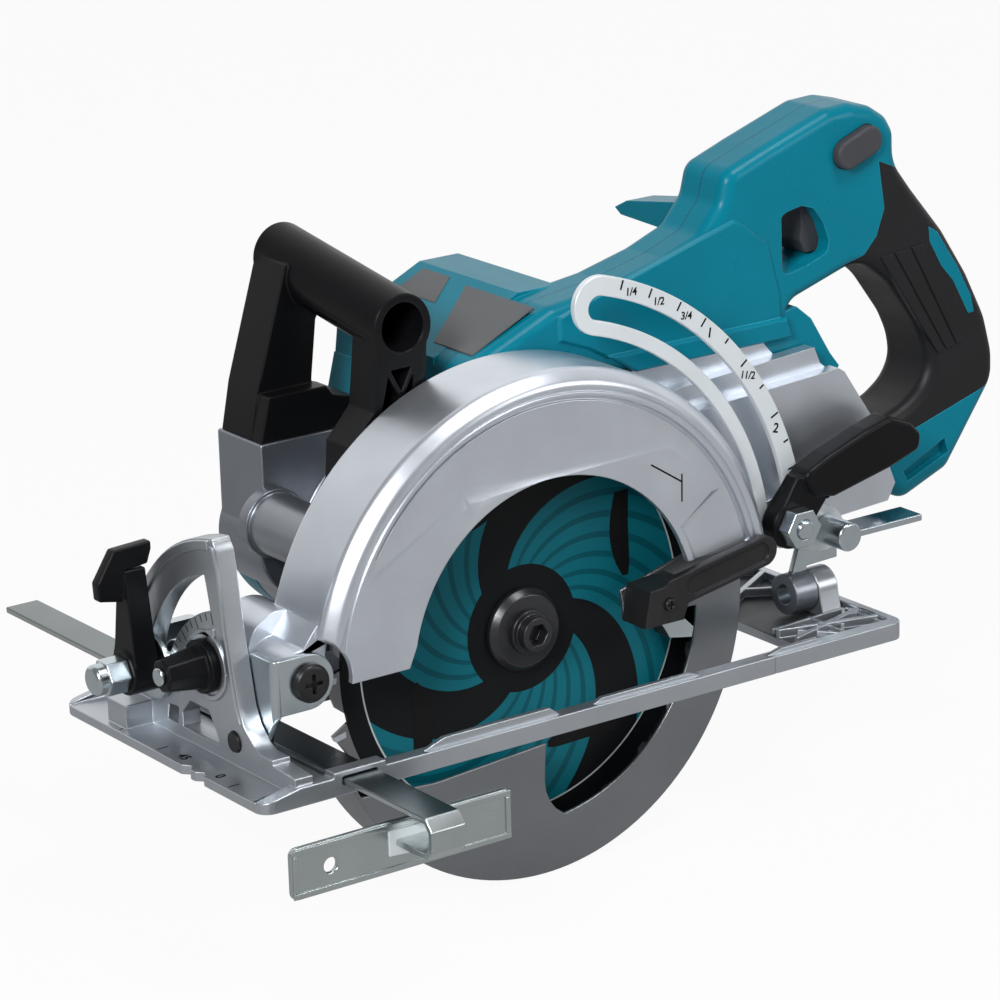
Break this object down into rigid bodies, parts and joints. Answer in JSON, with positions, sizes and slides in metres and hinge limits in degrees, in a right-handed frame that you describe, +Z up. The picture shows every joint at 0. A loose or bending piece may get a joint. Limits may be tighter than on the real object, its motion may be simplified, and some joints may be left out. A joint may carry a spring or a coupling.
{
  "type": "cordless circular saw",
  "caption": "Rear-handle cordless circular saw with a blade on the left, a swinging lower guard, a tilting and depth-swinging base, a front handle and a rip fence.",
  "frame": {"origin": "on the underside of the base, in the blade plane, straight below the depth pivot", "axes": "+X to the rear of the saw, +Y to the motor side, +Z up from the sole"},
  "size_m": [0.4247, 0.312, 0.2782],
  "materials": {
    "teal_plastic": "satin",
    "black_plastic": "satin",
    "grey_plastic": "satin",
    "black_rubber": "matt",
    "cast_magnesium": "satin",
    "guard_aluminium": "satin",
    "zinc_steel": "bright zinc plating",
    "dark_steel": "black oxide",
    "blade_steel": "printed",
    "white_scale": "satin",
    "motor_iron": "lacquered",
    "contact_brass": "bright"
  },
  "bodies": {
    "base": {"base_plate": "cast_magnesium", "fence_clamp_screw": "zinc_steel"},
    "carriage": {"front_bracket": "zinc_steel", "front_pivot_pin": "zinc_steel", "rear_bracket": "zinc_steel", "rear_pivot_pin": "zinc_steel", "guide_pin": "zinc_steel", "bevel_lock_bolt": "zinc_steel", "bevel_washer": "zinc_steel", "bevel_lock_nut": "zinc_steel"},
    "bevel_lever": {"bevel_lock_lever": "black_plastic"},
    "stop_knob": {"positive_stop_knob": "black_plastic", "knob_screw": "zinc_steel"},
    "guide": {"depth_guide": "white_scale"},
    "saw": {"upper_guard": "cast_magnesium", "depth_pivot_screw": "dark_steel", "gear_housing": "cast_magnesium", "guard_retaining_ring": "zinc_steel", "guard_return_spring": "zinc_steel", "depth_clamp_bolt": "zinc_steel", "depth_lock_nut": "zinc_steel", "spindle_bearings": "dark_steel", "motor_bearings": "dark_steel", "stator": "motor_iron", "motor_case": "cast_magnesium", "motor_end_cover": "teal_plastic", "housing_left_half": "teal_plastic", "housing_right_half": "teal_plastic", "handle_grip": "black_rubber", "housing_screws": "dark_steel", "switch": "black_plastic", "controller": "black_plastic", "terminal_block": "black_plastic", "terminals": "contact_brass", "front_handle": "black_plastic", "front_tube": "cast_magnesium", "guard_bumper": "black_rubber", "guard_screws": "dark_steel", "front_handle_screws": "dark_steel"},
    "depth_lever": {"depth_lock_lever": "black_plastic"},
    "blade_group": {"blade": "blade_steel", "inner_flange": "dark_steel", "outer_flange": "dark_steel", "blade_bolt": "dark_steel", "spindle": "dark_steel", "drive_gear": "dark_steel"},
    "rotor_group": {"rotor": "dark_steel", "rotor_shaft": "dark_steel", "pinion": "dark_steel", "cooling_fan": "black_plastic"},
    "lower_guard_group": {"lower_guard": "guard_aluminium", "retracting_lever": "guard_aluminium", "lever_screw": "dark_steel"},
    "trigger_body": {"trigger": "grey_plastic"},
    "button_body": {"lock_off_button": "grey_plastic"},
    "fence": {"rip_fence": "zinc_steel"}
  },
  "joints": [
    {"name": "bevel_tilt", "type": "hinge", "parent": "base", "child": "carriage", "pos_m": [0, -0.004, 0.0135], "axis": [1, 0, 0], "range_deg": [0, 53]},
    {"name": "depth_swing", "type": "hinge", "parent": "carriage", "child": "saw", "pos_m": [0, 0, 0.036], "axis": [0, -1, 0], "range_deg": [0, 35]},
    {"name": "guide_swing", "type": "hinge", "parent": "carriage", "child": "guide", "pos_m": [0.259, 0, 0.039], "axis": [0, -1, 0], "range_deg": [-17.6, 0.1]},
    {"name": "blade_spin", "type": "hinge", "parent": "saw", "child": "blade_group", "pos_m": [0.111, 0, 0.0273], "axis": [0, 1, 0], "continuous": true},
    {"name": "rotor_spin", "type": "hinge", "parent": "saw", "child": "rotor_group", "pos_m": [0.09144, 0, 0.05326], "axis": [0, 1, 0], "continuous": true},
    {"name": "guard_swing", "type": "hinge", "parent": "saw", "child": "lower_guard_group", "pos_m": [0.111, 0, 0.0273], "axis": [0, -1, 0], "range_deg": [0, 100], "stiffness_Nm_per_rad": 0.25, "springref_deg": -68.75},
    {"name": "trigger_pull", "type": "slide", "parent": "saw", "child": "trigger_body", "axis": [1, 0, 0], "range_m": [0, 0.008], "stiffness_N_per_m": 500, "springref_m": -0.002},
    {"name": "lock_off_push", "type": "slide", "parent": "saw", "child": "button_body", "axis": [0, 1, 0], "range_m": [-0.004, 0.004], "stiffness_N_per_m": 500},
    {"name": "depth_lever_turn", "type": "hinge", "parent": "saw", "child": "depth_lever", "pos_m": [0.235, 0, 0.0475], "axis": [0, -1, 0], "range_deg": [0, 55]},
    {"name": "bevel_lever_turn", "type": "hinge", "parent": "carriage", "child": "bevel_lever", "pos_m": [0, 0.05079, 0.02921], "axis": [-1, 0, 0], "range_deg": [0, 60]},
    {"name": "stop_knob_turn", "type": "hinge", "parent": "base", "child": "stop_knob", "pos_m": [-0.024, 0.013, 0.0395], "axis": [1, 0, 0], "range_deg": [0, 90]},
    {"name": "fence_slide", "type": "slide", "parent": "base", "child": "fence", "axis": [0, 1, 0], "range_m": [-0.1, 0.02]}
  ],
  "couplings": [
    {"joint": "guide_swing", "follows": "depth_swing", "ratio": -0.5},
    {"joint": "rotor_spin", "follows": "blade_spin", "ratio": -3.3333}
  ]
}
